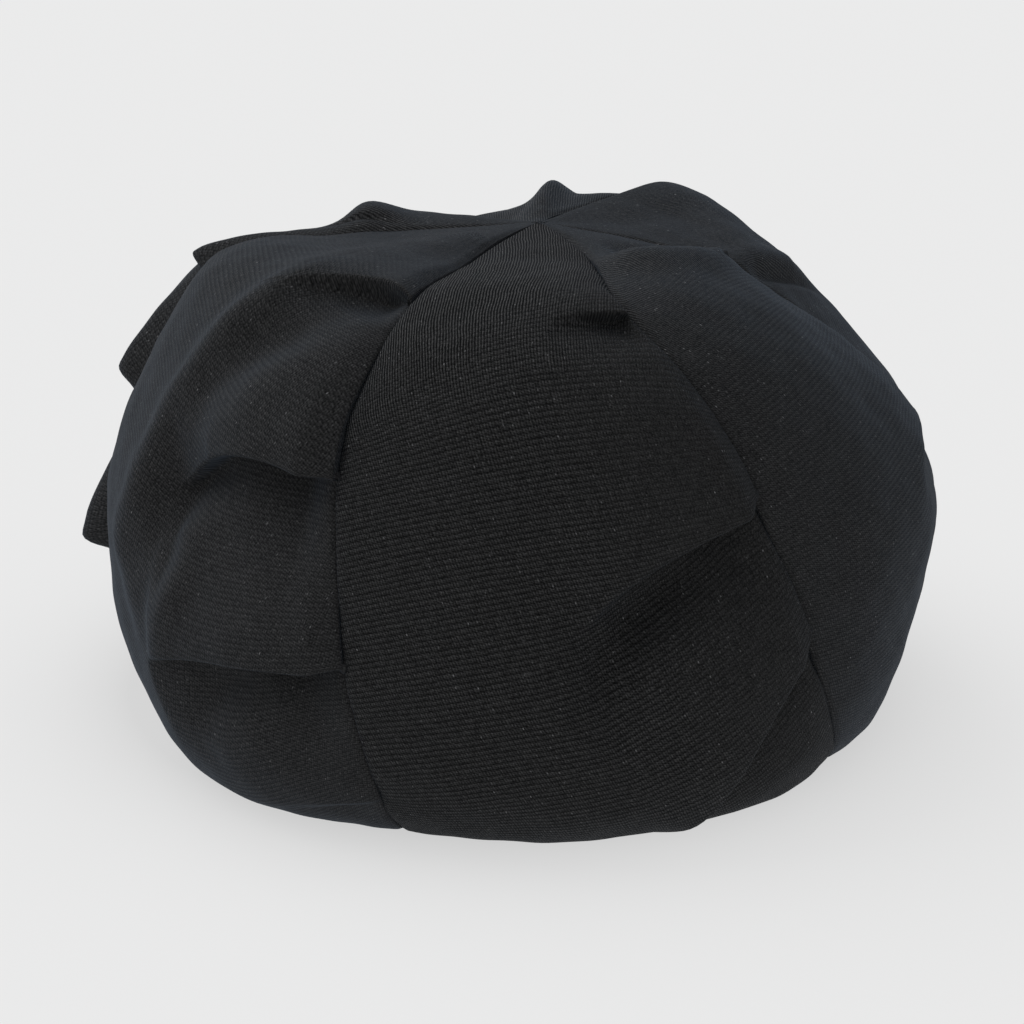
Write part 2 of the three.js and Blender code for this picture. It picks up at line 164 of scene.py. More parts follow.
def makeRibKnit():
    group, enter, leave = newGroup(
        "ribKnit",
        [("Lay", "NodeSocketVector", None), ("Rib Pitch", "NodeSocketFloat", 0.0014),
         ("Stitch Pitch", "NodeSocketFloat", 0.0007), ("Pulled Flat", "NodeSocketFloat", 0.05),
         ("Rib Contrast", "NodeSocketFloat", 0.6), ("Slack Side", "NodeSocketFloat", 0.2)],
        [("Height", "NodeSocketFloat"), ("Tone", "NodeSocketFloat"), ("Speck", "NodeSocketFloat")],
    )
    lay = enter.outputs["Lay"]

    def product(*values):
        return calc(group, "MULTIPLY", *values)

    def total(*values):
        return calc(group, "ADD", *values)

    def less(*values):
        return calc(group, "SUBTRACT", *values)

    def share(*values, clamp=False):
        return calc(group, "DIVIDE", *values, clamp=clamp)

    def ramp(value, start, gain, clamp=False):
        return calc(group, "MULTIPLY_ADD", value, gain, start, clamp=clamp)

    def noise(scale, detail, strength):
        node = group.nodes.new("ShaderNodeTexNoise")
        node.inputs["Scale"].default_value = scale
        node.inputs["Detail"].default_value = detail
        group.links.new(lay, node.inputs["Vector"])
        return product(less(node.outputs["Fac"], 0.5), strength)

    def drift(slow, fast):
        return total(noise(*slow), noise(*fast))

    def patches(shown, values):
        return calc(group, "MULTIPLY", shown, total(noise(*values), knit["patchBase"]), clamp=True)

    def lot(x, y):
        cell = group.nodes.new("ShaderNodeCombineXYZ")
        group.links.new(calc(group, "FLOOR", x), cell.inputs["X"])
        group.links.new(calc(group, "FLOOR", y), cell.inputs["Y"])
        node = group.nodes.new("ShaderNodeTexWhiteNoise")
        node.noise_dimensions = "2D"
        group.links.new(cell.outputs[0], node.inputs["Vector"])
        return node.outputs["Value"]

    split = group.nodes.new("ShaderNodeSeparateXYZ")
    group.links.new(lay, split.inputs[0])
    across, down = split.outputs["X"], split.outputs["Y"]
    rib = total(share(down, enter.outputs["Rib Pitch"]), drift(*knit["ribDrift"]))
    along = total(share(across, enter.outputs["Stitch Pitch"]), drift(*knit["columnDrift"]))
    # Towards the crown's centre the ribs are pulled flat and the stitch columns show.
    past = less(ramp(across, down, knit["pullSlope"]), enter.outputs["Pulled Flat"])
    spread = calc(group, "ADD", share(past, knit["pullOver"]), noise(*knit["pullPatches"]), clamp=True)
    ribShow = patches(ramp(spread, *knit["ribShow"]), knit["ribPatches"])
    loopShow = patches(ramp(spread, *knit["loopShow"]), knit["loopPatches"])
    # Each rib rises sharply out of its groove and falls slowly to the next one; carried into the tone, this
    # paints each rib lit at its sharp edge and shaded down its slow side, as under light from above.
    step = calc(group, "FRACT", rib)
    rise, fall = share(step, knit["ribRise"]), share(less(1, step), knit["ribFall"])
    ridge = calc(group, "MINIMUM", calc(group, "SMOOTH_MIN", rise, fall, knit["ribRound"]), 1)
    wave = ramp(calc(group, "SINE", product(along, 2 * math.pi)), 0.5, 0.5)
    ribBody = less(1, product(less(1, ridge), ribShow))
    loopBody = less(1, product(less(1, wave), loopShow))
    height = product(ribBody, loopBody)
    # Slack cloth shows flatter ribs, and so does the side of a panel that is pulled in by its pleats.
    slack = share(less(across, enter.outputs["Slack Side"]), knit["slackOver"], clamp=True)
    taut = ramp(slack, 1, knit["slackFade"])
    contrast = product(enter.outputs["Rib Contrast"], taut)
    usual = ramp(spread, *knit["usualHeight"])
    pulled = product(contrast, ramp(spread, *knit["pulledBoost"]))
    plain = ramp(less(share(height, usual), 1), 1, pulled)
    # Every other stitch leans across its rib, one way round the cap.
    turns = product(along, math.pi)
    steep = product(calc(group, "SINE", ramp(rib, turns, -4 * math.pi)), knit["steepMarks"])
    slight = product(calc(group, "SINE", ramp(rib, turns, -2 * math.pi)), knit["slightMarks"])
    marks = product(total(steep, slight), product(product(ribBody, spread), taut))
    body = total(plain, marks)
    # Each stitch, fleck and fibre has a tone of its own, and a few flecks are pale lint.
    stitches = ramp(lot(along, rib), *knit["stitchTone"])
    fleck = lot(*(share(way, size) for way, size in zip((across, down), knit["fleckSize"])))
    mottle = total(stitches, total(noise(*knit["fibre"]), product(fleck, knit["fleckTone"])))
    speck = product(calc(group, "POWER", fleck, knit["lintPower"]), height)
    held = [calc(group, "MAXIMUM", value, least) for value, least in zip((body, mottle), knit["darkest"])]
    # The tone follows the height: the knit's own pattern, with painted shade down in the grooves and painted
    # light on the rib and loop tops.
    tone = product(product(*held), knit["toneScale"])
    for name, value in (("Height", height), ("Tone", tone), ("Speck", speck)):
        group.links.new(value, leave.inputs[name])
    return group


ribKnit = makeRibKnit()

# The near-black groove colour, taken where the tone is lowest, is painted shade down between the ribs.
cloth = {
    "groove": (0.001, 0.001, 0.0011, 1), "lint": (0.2, 0.2, 0.205, 1), "roughness": (0.85, -0.2),
    "specular": 0.05, "bump": 0.8, "relief": 0.0004, "sheenRoughness": 0.45, "sheenTint": (0.42, 0.66, 1, 1),
}
# Each cloth: its loops' colour, rib and stitch pitch, how far down it is pulled flat, rib contrast, how far
# to the side it is slack, and sheen.
clothColumns = ("loop", "Rib Pitch", "Stitch Pitch", "Pulled Flat", "Rib Contrast", "Slack Side", "sheen")
cloths = {
    # The rear and crown cloths are one knit; their loop colours differ to match the light each part gets,
    # which is painted light.
    "rearRibKnit": ((0.0705, 0.0705, 0.0707, 1), 0.00142, 0.00073, 0.064, 0.88, -0.014, 0.02),
    "crownRibKnit": ((0.074, 0.074, 0.0745, 1), 0.00137, 0.00072, 0.042, 0.38, 0.2, 0.06),
    "bandRibKnit": ((0.062, 0.062, 0.0625, 1), 0.0012, 0.0007, 0, 0.6, 0.2, 0.055),
    "peakRibKnit": ((0.062, 0.062, 0.0625, 1), 0.00142, 0.00072, 0, 0.6, 0.2, 0.055),
}


def makeCloth(name):
    values = dict(zip(clothColumns, cloths[name]))
    material = bpy.data.materials.new(name)
    material.use_nodes = True
    tree = material.node_tree
    shader = tree.nodes["Principled BSDF"]
    lay = tree.nodes.new("ShaderNodeUVMap")
    lay.uv_map = "clothLay"
    pattern = tree.nodes.new("ShaderNodeGroup")
    pattern.node_tree = ribKnit
    tree.links.new(lay.outputs["UV"], pattern.inputs["Lay"])
    for label in clothColumns[1:-1]:
        pattern.inputs[label].default_value = values[label]
    # The tone mixes from the groove colour, painted shade, up to the loop colour.
    body = tree.nodes.new("ShaderNodeMix")
    body.data_type = "RGBA"
    body.inputs["A"].default_value = cloth["groove"]
    body.inputs["B"].default_value = values["loop"]
    tree.links.new(pattern.outputs["Tone"], body.inputs["Factor"])
    lint = tree.nodes.new("ShaderNodeMix")
    lint.data_type = "RGBA"
    lint.inputs["B"].default_value = cloth["lint"]
    tree.links.new(body.outputs["Result"], lint.inputs["A"])
    tree.links.new(pattern.outputs["Speck"], lint.inputs["Factor"])
    tree.links.new(lint.outputs["Result"], shader.inputs["Base Color"])
    plain, gloss = cloth["roughness"]
    rough = calc(tree, "MULTIPLY_ADD", pattern.outputs["Height"], gloss, plain)
    tree.links.new(rough, shader.inputs["Roughness"])
    bump = tree.nodes.new("ShaderNodeBump")
    bump.inputs["Strength"].default_value = cloth["bump"] * values["Rib Contrast"]
    bump.inputs["Distance"].default_value = cloth["relief"]
    tree.links.new(pattern.outputs["Height"], bump.inputs["Height"])
    tree.links.new(bump.outputs["Normal"], shader.inputs["Normal"])
    shader.inputs["Specular IOR Level"].default_value = cloth["specular"]
    shader.inputs["Sheen Weight"].default_value = values["sheen"]
    shader.inputs["Sheen Roughness"].default_value = cloth["sheenRoughness"]
    shader.inputs["Sheen Tint"].default_value = cloth["sheenTint"]
    return material


rearCloth, crownCloth, bandCloth, peakCloth = (makeCloth(name) for name in cloths)
print("cloth materials made")


# Crown: six gathered panels, in millimetres. A station is a share of the way down from the top centre to the
# lower edge. The profiles give heights, distances from the middle and the lean to one side at ten stations.
crown = {
    "wall": 1.2, "length": 265, "columns": 92, "rows": 200, "foldRows": 15, "start": 0.0004,
    "zRear": (140.5, 136.5, 133.9, 114.7, 75.9, 42.8, 17.5, 2.6, 6, 25),
    "zFront": (140.5, 139.4, 123.9, 111.8, 83, 52.1, 28, 13, 15, 25),
    "side": (0, 45, 74.7, 93.9, 115.4, 112.9, 104.3, 98.9, 91, 87.7),
    "rear": (0, 35, 74.2, 100, 111.4, 118.8, 115.7, 103.1, 98.3, 96.2),
    "front": (0, 38.8, 77.8, 109.4, 124.8, 126.1, 118, 108, 99, 96.2),
    "lean": (5.7, 1.2, -4.9, -2.4, 1.2, -1.1, 0, 0, 0, 0),
    "turnFrom": 0.1, "turnOver": 0.7, "puff": 3, "puffOver": 0.2, "fadeFrom": 0.7, "fadeOver": 0.14,
    "topOver": 0.03, "foldHalf": 1.6, "foldFrom": 0.2, "foldOver": 0.6, "pleatOver": 0.06, "lipOver": 0.15,
    "hollowOver": 0.25, "seamHold": 0.45, "hiddenFade": 1.2, "seamRoll": 0.5, "seamReach": 0.9,
    "rollOver": 0.05, "allowance": (0.5, 1.4, 3, 5.5), "allowanceOver": 0.12, "unevenness": 0.16,
    "unevenOver": 0.1, "panelShift": 300, "nudge": 1e-4, "nearestTop": 2e-3, "ridgeSteps": 33,
    "ridgeEnds": (0.05, 0.9), "layStations": 120, "narrowest": 3, "weld": 0.02,
}
# Above the pull line the ribs turn and the stitch columns lean, at one rate near it and another further up.
pull = {
    "line": 92, "fade": 18, "farRate": 0.07, "nearRate": 0.25, "nearFrom": 50, "nearOver": 25, "ribOver": 30,
    "longest": 400, "step": 0.5,
}
# A panel's grain is how many degrees its ribs rise to the right. Above the pull line its stitch columns lean
# by its wales and its ribs turn by its ribTurn. Its seam is the angle of its left edge at six stations down.
# Four pleats to a panel, tucked into the seam on its right as seen from outside. Each has its station at the
# seam, halfway and at the end, its reach across, lip, hollow, spreads above and below, share open at the
# seam, fade, tuck, spread out, and the cloth hidden in the fold at the seam.
pleatColumns = (
    "atSeam", "halfway", "atEnd", "reach", "lip", "hollow", "above", "below", "pinch", "fade", "tuck", "open",
    "hidden",
)
panels = {
    "crown_panel_rear": {
        "grain": 8, "wales": 1, "ribTurn": 0.15, "seam": (-39.7, -24.7, -31.6, -25.4, -23.6, -23.2),
        "pleats": (
            (0.25, 0.25, 0.262, 0.4, 2.8, 4.2, 12, 9, 0, 0.8, 2, 3, 2),
            (0.402, 0.432, 0.49, 0.51, 5, 11, 26, 17, 0.4, 0.6, 4, 5, 26),
            (0.51, 0.6, 0.77, 0.5, 4.5, 6, 26, 16, 0.5, 0.5, 5, 0, 4),
            (0.68, 0.76, 0.83, 0.45, 0, 0, 18, 14, 0.3, 1.1, 0, 2, 0),
        ),
    },
    "crown_panel_rear_right": {
        "grain": 10, "wales": 0, "ribTurn": 0, "seam": (34.4, 17, 24.8, 37, 50.4, 47),
        "pleats": (
            (0.17, 0.172, 0.19, 0.3, 2.5, 1, 12, 12, 0.8, 1, 1, 2, 2),
            (0.4, 0.42, 0.45, 0.4, 3.5, 3, 22, 18, 0.3, 1.1, 3, 5, 8),
            (0.54, 0.58, 0.62, 0.45, 4, 4, 22, 18, 0.3, 1.1, 4, 5, 8),
            (0.66, 0.7, 0.74, 0.4, 2, 3, 18, 14, 0.3, 1.1, 2, 5, 4),
        ),
    },
    "crown_panel_front_right": {
        "grain": 10, "wales": 0, "ribTurn": 0, "seam": (73.8, 70.6, 78.6, 86.2, 95.1, 98),
        "pleats": (
            (0.19, 0.2, 0.24, 0.5, 5, 5, 20, 20, 0.3, 1.1, 4, 4, 6),
            (0.35, 0.38, 0.44, 0.5, 5, 5, 22, 20, 0.3, 1.1, 5, 4, 8),
            (0.5, 0.54, 0.59, 0.5, 5, 5, 22, 20, 0.3, 1.1, 5, 4, 8),
            (0.64, 0.68, 0.72, 0.45, 3, 3, 18, 14, 0.3, 1.1, 3, 4, 5),
        ),
    },
    "crown_panel_front": {
        "grain": 0, "wales": 0, "ribTurn": 0, "seam": (140, 130, 140, 150, 155, 157),
        "pleats": (
            (0.16, 0.16, 0.18, 0.4, 1, 3, 14, 16, 0.3, 1.1, 2, 4, 2),
            (0.3, 0.33, 0.4, 0.5, 5, 5, 22, 20, 0.3, 1.1, 5, 4, 8),
            (0.47, 0.51, 0.56, 0.5, 5, 5, 22, 20, 0.3, 1.1, 5, 4, 8),
            (0.62, 0.66, 0.7, 0.45, 3, 3, 18, 14, 0.3, 1.1, 3, 4, 5),
        ),
    },
    "crown_panel_front_left": {
        "grain": 0, "wales": 0, "ribTurn": 0, "seam": (200, 200, 206, 212, 215, 216),
        "pleats": (
            (0.12, 0.125, 0.15, 0.5, 0, 0, 10, 12, 0, 0.8, 0, 4, 0),
            (0.29, 0.304, 0.34, 0.6, 8.5, -4.5, 26, 12, 0.05, 0.5, 1, -3, 6),
            (0.41, 0.424, 0.46, 0.6, 9.5, 0.5, 24, 14, 0.05, 0.5, 1, -4, 6),
            (0.55, 0.563, 0.586, 0.6, 16.5, 0.5, 19, 14, 0.05, 0.5, 1, -8, 6),
        ),
    },
    "crown_panel_rear_left": {
        "grain": -22, "wales": 0, "ribTurn": 0, "seam": (258, 252, 258, 266, 272, 274),
        "pleats": (
            (0.218, 0.206, 0.24, 0.3, 3, 6, 20, 10, 0.5, 0.6, 1, 1, 8),
            (0.388, 0.383, 0.42, 0.42, 6, 12, 22, 24, 0.4, 0.6, 3, 1, 16),
            (0.522, 0.533, 0.559, 0.45, 5, 9, 26, 20, 0.4, 0.6, 3, 1.5, 10),
            (0.67, 0.7, 0.74, 0.4, 0.5, 1, 18, 14, 0.3, 1.1, 0, 5, 3),
        ),
    },
}
# Broad dents and swellings: angle, station, their spreads and the height.
dents = (
    (-140, 0.24, 38, 0.12, -5.6), (128, 0.19, 20, 0.08, 7.6), (74, 0.26, 28, 0.12, -7.7),
    (48, 0.62, 22, 0.12, 1.6), (-50, 0.64, 24, 0.12, 7.2), (195, 0.1, 22, 0.06, -9.4),
    (-95, 0.5, 14, 0.09, -2.1),
)
# Ridges and valleys: panel, (share across, station) at the start, middle and end, half width and height.
ridges = (
    ("crown_panel_rear_left", (0.85, 0.06), (0.7, 0.13), (0.7, 0.24), 11, 2.5),
    ("crown_panel_rear_left", (0.7, 0.22), (0.6, 0.325), (0.43, 0.47), 6, 3.5),
    ("crown_panel_rear_left", (0.86, 0.238), (0.76, 0.304), (0.6, 0.379), 9, -3.5),
    ("crown_panel_rear_left", (0.85, 0.303), (0.76, 0.347), (0.58, 0.391), 7, 1.5),
    ("crown_panel_rear_left", (0.72, 0.402), (0.6, 0.422), (0.6, 0.46), 7, -6.5),
    ("crown_panel_rear_left", (0.44, 0.46), (0.48, 0.505), (0.53, 0.545), 6, 1.5),
    ("crown_panel_rear_left", (0.665, 0.45), (0.625, 0.5), (0.57, 0.555), 5.5, 2.6),
    ("crown_panel_rear_left", (0.78, 0.562), (0.69, 0.578), (0.63, 0.62), 7, -4),
    ("crown_panel_rear_right", (0.02, 0.13), (0.4, 0.166), (0.93, 0.17), 7, 4),
    ("crown_panel_rear_right", (0.25, 0.1), (0.6, 0.108), (0.9, 0.148), 6, -2.5),
    ("crown_panel_front_right", (0.05, 0.216), (0.2, 0.264), (0.3, 0.31), 3.5, -3),
    ("crown_panel_front_right", (0.08, 0.18), (0.25, 0.235), (0.35, 0.28), 7, 2),
    ("crown_panel_rear", (0.55, 0.47), (0.49, 0.5), (0.53, 0.57), 8, -4),
    ("crown_panel_rear", (0.76, 0.455), (0.62, 0.482), (0.51, 0.53), 5, -5.5),
    ("crown_panel_front_left", (0.9, 0.113), (0.75, 0.12), (0.45, 0.145), 6, 5),
    ("crown_panel_front", (0.44, 0.04), (0.42, 0.12), (0.38, 0.2), 5, 4.9),
)
panelNames = list(panels)


def smooth(x):
    held = np.clip(x, 0, 1)
    return held * held * (3 - 2 * held)


# A smooth curve through evenly spaced values.
def through(values, share):
    values = np.asarray(values, float)
    last = len(values) - 1
    s = np.clip(share, 0, 1 - 1e-9) * last
    i = np.floor(s).astype(int)
    f = s - i
    b, c = values[i], values[i + 1]
    a = np.where(i > 0, values[np.maximum(i - 1, 0)], 2 * b - c)
    d = np.where(i + 2 <= last, values[np.minimum(i + 2, last)], 2 * c - b)
    square, cube = 2 * a - 5 * b + 4 * c - d, 3 * b - a - 3 * c + d
    return 0.5 * (2 * b + (c - a) * f + square * f * f + cube * f ** 3)


# The crown without its pleats, humps and seams.
def plainPoint(angle, down):
    c, s = np.cos(angle), np.sin(angle)
    side = np.maximum(through(crown["side"], down), 1e-6)
    reach = np.where(c > 0, through(crown["rear"], down), through(crown["front"], down))
    reach = np.maximum(reach, 1e-6)
    radius = 1 / np.hypot(s / side, c / reach)
    zRear = through(crown["zRear"], down)
    zFront = through(crown["zFront"], down)
    z = zRear + (zFront - zRear) * smooth((-c - crown["turnFrom"]) / crown["turnOver"])
    return np.stack([radius * s + through(crown["lean"], down), -radius * c, z], -1)


def plainNormal(angle, down):
    nudge = crown["nudge"]
    down = np.clip(down, crown["nearestTop"], 1 - 2 * nudge)
    around = plainPoint(angle + nudge, down) - plainPoint(angle - nudge, down)
    fall = plainPoint(angle, down + nudge) - plainPoint(angle, down - nudge)
    normal = np.cross(fall, around)
    return normal / np.linalg.norm(normal, axis=-1, keepdims=True)


def seamAngle(index, down):
    turn = 360 if index >= len(panelNames) else 0
    return np.radians(through(panels[panelNames[index % len(panelNames)]]["seam"], down) + turn)


def pleatsOf(index):
    rows = panels[panelNames[index % len(panelNames)]]["pleats"]
    return [dict(zip(pleatColumns, row)) for row in rows]


# A pleat follows a curve over its reach, and runs on to where the left neighbour's pleat meets their seam.
def pleatLine(slot, index, across):
    pleat = pleatsOf(index)[slot]
    x = (1 - across) / pleat["reach"]
    slope = 4 * pleat["halfway"] - 3 * pleat["atSeam"] - pleat["atEnd"]
    bend = 2 * pleat["atEnd"] - 4 * pleat["halfway"] + 2 * pleat["atSeam"]
    near = pleat["atSeam"] + slope * x + bend * x * x
    span = 1 / pleat["reach"] - 1
    f = np.clip((x - 1) / span, 0, 1)
    leave = (slope + 2 * bend) * span * 0.5
    meet = pleatsOf(index - 1 + len(panelNames))[slot]["atSeam"]
    far = pleat["atEnd"] * (1 - f) ** 2 * (1 + 2 * f) + leave * f * (1 - f) ** 2 + meet * f * f * (3 - 2 * f)
    return np.where(x <= 1, near, far)


# Rows of cloth between the pleats, with closer rows round each pleat's fold.
def layRows(index, across):
    pleats = pleatsOf(index)
    lines = [pleatLine(slot, index, across) for slot in range(4)]
    halves = []
    for pleat, neighbour in zip(pleats, pleatsOf(index - 1 + len(panelNames))):
        x = (1 - across) / pleat["reach"]
        own = pleat["open"] * smooth(x) if pleat["open"] > 0 else -pleat["open"] * (1 - smooth(x))
        meet = max(-neighbour["open"], 0)
        far = smooth((x - 1) / (1 / pleat["reach"] - 1))
        halves.append((crown["foldHalf"] + own + (meet - own) * far) / crown["length"])
    froms = [np.full_like(across, crown["start"])] + [line + half for line, half in zip(lines, halves)]
    tos = [line - half for line, half in zip(lines, halves)] + [np.ones_like(across)]
    downs, parts, folds = [], [], []
    for part, (low, high) in enumerate(zip(froms, tos)):
        steps = max(4, int(round(float(np.mean(high - low)) * crown["rows"])))
        for f in np.linspace(0, 1, steps + 1):
            downs.append(low + (high - low) * f)
            parts.append(part)
            folds.append(-1.0)
        if part < 4:
            for q in np.linspace(0, 1, crown["foldRows"] + 2)[1:-1]:
                downs.append(lines[part] + halves[part] * (2 * q - 1))
                parts.append(part)
                folds.append(q)
    return np.array(downs).T, np.array(parts), np.array(folds), lines


def pleatRelief(index, u, base, parts, folds, lines):
    height, slide, hidden = np.zeros_like(base), np.zeros_like(base), np.zeros_like(base)
    fade = (1 - smooth((base - crown["fadeFrom"]) / crown["fadeOver"])) * smooth(base / crown["pleatOver"])
    for slot, pleat in enumerate(pleatsOf(index)):
        x = (1 - u) / pleat["reach"]
        left = np.clip(1 - x, 0, 1) ** pleat["fade"]
        held = pleat["pinch"] * crown["seamHold"]
        lipOpening = (pleat["pinch"] + (1 - pleat["pinch"]) * smooth(x / crown["lipOver"])) * left
        hollowOpening = (held + (1 - held) * smooth(x / crown["hollowOver"])) * left
        below = (base - lines[slot][:, None]) * crown["length"]
        lip = pleat["lip"] * np.exp(-(np.minimum(below, 0) / pleat["above"]) ** 2)
        hollow = -pleat["hollow"] * np.exp(-(np.maximum(below, 0) / pleat["below"]) ** 2)
        own = (parts == slot) & (folds >= 0)
        turned = smooth((folds - crown["foldFrom"]) / crown["foldOver"])
        past = np.where(own, turned, np.where(parts > slot, 1.0, 0.0))[None, :]
        height += (lipOpening * lip * (1 - past) + hollowOpening * hollow * past) * fade
        slide += np.where(own[None, :], pleat["tuck"] * lipOpening * np.sin(2 * np.pi * folds)[None, :], 0)
        behind = np.where(own, smooth(folds), np.where(parts > slot, 1.0, 0.0))[None, :]
        hidden += pleat["hidden"] * np.clip(1 - x, 0, 1) ** crown["hiddenFade"] * behind
    return height, slide / crown["length"], hidden


def broadRelief(name, index, u, down, angle):
    height = np.zeros_like(down)
    for turn, share, turnSpread, shareSpread, rise in dents:
        away = (np.degrees(angle) - turn + 900) % 360 - 180
        height += rise * np.exp(-(away / turnSpread) ** 2 - ((down - share) / shareSpread) ** 2)
    height += crown["puff"] * (1 - np.abs(2 * u - 1) ** 3) * smooth(down / crown["puffOver"])
    wide = (seamAngle(index + 1, down) - seamAngle(index, down)) * through(crown["side"], down)
    for panel, first, halfway, last, spread, rise in ridges:
        if panel == name:
            gap, along = np.full_like(down, 1e3), np.zeros_like(down)
            for run in np.linspace(0, 1, crown["ridgeSteps"]):
                weights = ((1 - run) * (1 - 2 * run), 4 * run * (1 - run), run * (2 * run - 1))
                spots = list(zip(weights, (first, halfway, last)))
                overU, overDown = (sum(weight * spot[k] for weight, spot in spots) for k in (0, 1))
                away = np.hypot((u - overU) * wide, (down - overDown) * crown["length"])
                along = np.where(away < gap, run, along)
                gap = np.minimum(gap, away)
            low, span = crown["ridgeEnds"]
            height += rise * np.exp(-(gap / spread) ** 2) * np.sqrt(np.sin(np.pi * (low + span * along)))
    # The panels meet at one point at the top and hold to the band at the bottom.
    held = 1 - smooth((down - crown["fadeFrom"]) / crown["fadeOver"])
    return height * held * smooth(down / crown["topOver"])


# Distances from the panel's middle line and down that line, straightened across the widening panel.
def clothLay(index, share, down):
    stations = np.linspace(crown["start"], 1, crown["layStations"])
    start, end = seamAngle(index, stations), seamAngle(index + 1, stations)
    level = np.broadcast_to(stations, (len(share), len(stations)))
    rows = plainPoint(start[None, :] + (end - start)[None, :] * share[:, None], level)
    steps = np.linalg.norm(np.diff(rows, axis=0), axis=-1)
    reach = np.concatenate([np.zeros((1, len(stations))), np.cumsum(steps, axis=0)])
    width = reach[-1]
    centre = plainPoint((start + end) / 2, stations)
    fall = np.concatenate([[0], np.cumsum(np.linalg.norm(np.diff(centre, axis=0), axis=-1))])
    curl = np.gradient(width, fall) / np.maximum(width, crown["narrowest"])
    aside = np.stack([np.interp(down[i], stations, reach[i] - width / 2) for i in range(len(share))])
    edge = np.interp(down, stations, width) / 2 - np.abs(aside)
    fallen = np.interp(down, stations, fall) - aside ** 2 * np.interp(down, stations, curl) / 2
    return aside, fallen, edge


# Waves over the cloth: direction, wavelength and start.
waves = ((0.4, 31, 0.3), (1.9, 23, 1.7), (1.2, 17, 4.1), (2.7, 13, 2.6), (0.9, 9.5, 5.2))


def unevenness(aside, run):
    height = np.zeros_like(run)
    for turn, wavelength, start in waves:
        along = aside * np.cos(turn) + run * np.sin(turn)
        height += np.sin(2 * np.pi * along / wavelength + start) * wavelength / waves[0][1]
    return height


# Where each point lies on the flat cloth, for the knit.
def layOf(name, aside, fallen):
    grain = np.radians(panels[name]["grain"])
    falls = np.arange(0, pull["longest"] + pull["step"], pull["step"])
    near = smooth((falls - pull["nearFrom"]) / pull["nearOver"])
    rates = pull["farRate"] + (pull["nearRate"] - pull["farRate"]) * near
    rates *= 1 - smooth((falls - pull["line"]) / pull["fade"])
    leans = np.cumsum(rates[::-1])[::-1] * pull["step"]
    lean = panels[name]["wales"] * np.interp(fallen, falls, leans)
    above = (pull["line"] - fallen) / pull["ribOver"]
    turned = panels[name]["ribTurn"] * aside * smooth(0.5 + above)
    across = aside * np.cos(grain) - fallen * np.sin(grain) - lean
    down = fallen * np.cos(grain) + aside * np.sin(grain) + turned
    return np.stack([across, down], -1)


def panelSurface(index):
    name = panelNames[index]
    # The columns stand closer towards the seams.
    even = np.linspace(0, 1, crown["columns"])
    across = 0.5 * even + 0.5 * (0.5 - 0.5 * np.cos(np.pi * even))
    base, parts, folds, lines = layRows(index, across)
    u = across[:, None] * np.ones_like(base)
    height, slide, hidden = pleatRelief(index, u, base, parts, folds, lines)
    down = base + slide
    start, end = seamAngle(index, down), seamAngle(index + 1, down)
    angle = start + (end - start) * u
    height += broadRelief(name, index, u, down, angle)
    aside, fallen, edge = clothLay(index, across, down)
    height -= crown["seamRoll"] * np.exp(-(edge / crown["seamReach"]) ** 2) * smooth(down / crown["rollOver"])
    plain, normal = plainPoint(angle, down), plainNormal(angle, down)
    swell = crown["unevenness"] * unevenness(aside + crown["panelShift"] * index, fallen)
    height += swell * smooth(down / crown["unevenOver"])
    points = plain + normal * height[..., None]
    lay = layOf(name, aside, fallen + hidden)
    # Seam allowances turn inwards along both edges.
    def allowance(side, sign):
        rows, rowLays = [], []
        stretch = smooth(base[side] / crown["allowanceOver"])
        stretch = stretch * (1 + np.maximum(height[side], 0) / crown["allowance"][-1])
        for depth in crown["allowance"]:
            rows.append(points[side] - normal[side] * (depth * stretch)[:, None])
            rowLays.append(lay[side] + np.stack([sign * depth * stretch, 0 * stretch], -1))
        return np.array(rows), np.array(rowLays)

    (left, leftLay), (right, rightLay) = allowance(0, -1), allowance(-1, 1)
    return np.concatenate([left[::-1], points, right]), np.concatenate([leftLay[::-1], lay, rightLay])


# One grid of cloth, its points in millimetres and its lay kept as the UV.
def gridPiece(name, points, lay, material):
    bpy.ops.object.select_all(action="DESELECT")
    columns, rows = points.shape[:2]
    across, up = columns - 1, rows - 1
    bpy.ops.mesh.primitive_grid_add(x_subdivisions=across, y_subdivisions=up, size=1, calc_uvs=True)
    piece = bpy.context.object
    piece.name = name
    mesh = piece.data
    flat = np.empty(len(mesh.vertices) * 3)
    mesh.vertices.foreach_get("co", flat)
    flat = flat.reshape(-1, 3)
    i = np.rint((flat[:, 0] + 0.5) * across).astype(int)
    j = up - np.rint((flat[:, 1] + 0.5) * up).astype(int)
    placed = points[i, j] / 1000 + middle
    mesh.vertices.foreach_set("co", placed.ravel())
    loops = np.empty(len(mesh.loops), int)
    mesh.loops.foreach_get("vertex_index", loops)
    uv = mesh.uv_layers.active
    uv.name = "clothLay"
    uv.data.foreach_set("uv", (lay[i, j][loops] / 1000).ravel())
    mesh.update()
    mesh.materials.append(material)
    return piece


# The grid's ends meet, so their doubled points are joined.
def closeUp(piece):
    bpy.context.view_layer.objects.active = piece
    bpy.ops.object.mode_set(mode="EDIT")
    bpy.ops.mesh.select_all(action="SELECT")
    bpy.ops.mesh.remove_doubles(threshold=crown["weld"] / 1000)
    bpy.ops.object.mode_set(mode="OBJECT")
    bpy.ops.object.shade_smooth()


def thicken(piece, wall):
    bpy.context.view_layer.objects.active = piece
    solid = piece.modifiers.new("wall", "SOLIDIFY")
    solid.thickness = wall / 1000
    solid.offset = -1
    bpy.ops.object.modifier_apply(modifier="wall")
    bpy.ops.object.shade_smooth()


for index, name in enumerate(panelNames):
    points, lay = panelSurface(index)
    piece = gridPiece(name + "_cloth", points, lay, rearCloth if index == 0 else crownCloth)
    thicken(piece, crown["wall"])
    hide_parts(name)
    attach(piece, "root")
print("crown made")


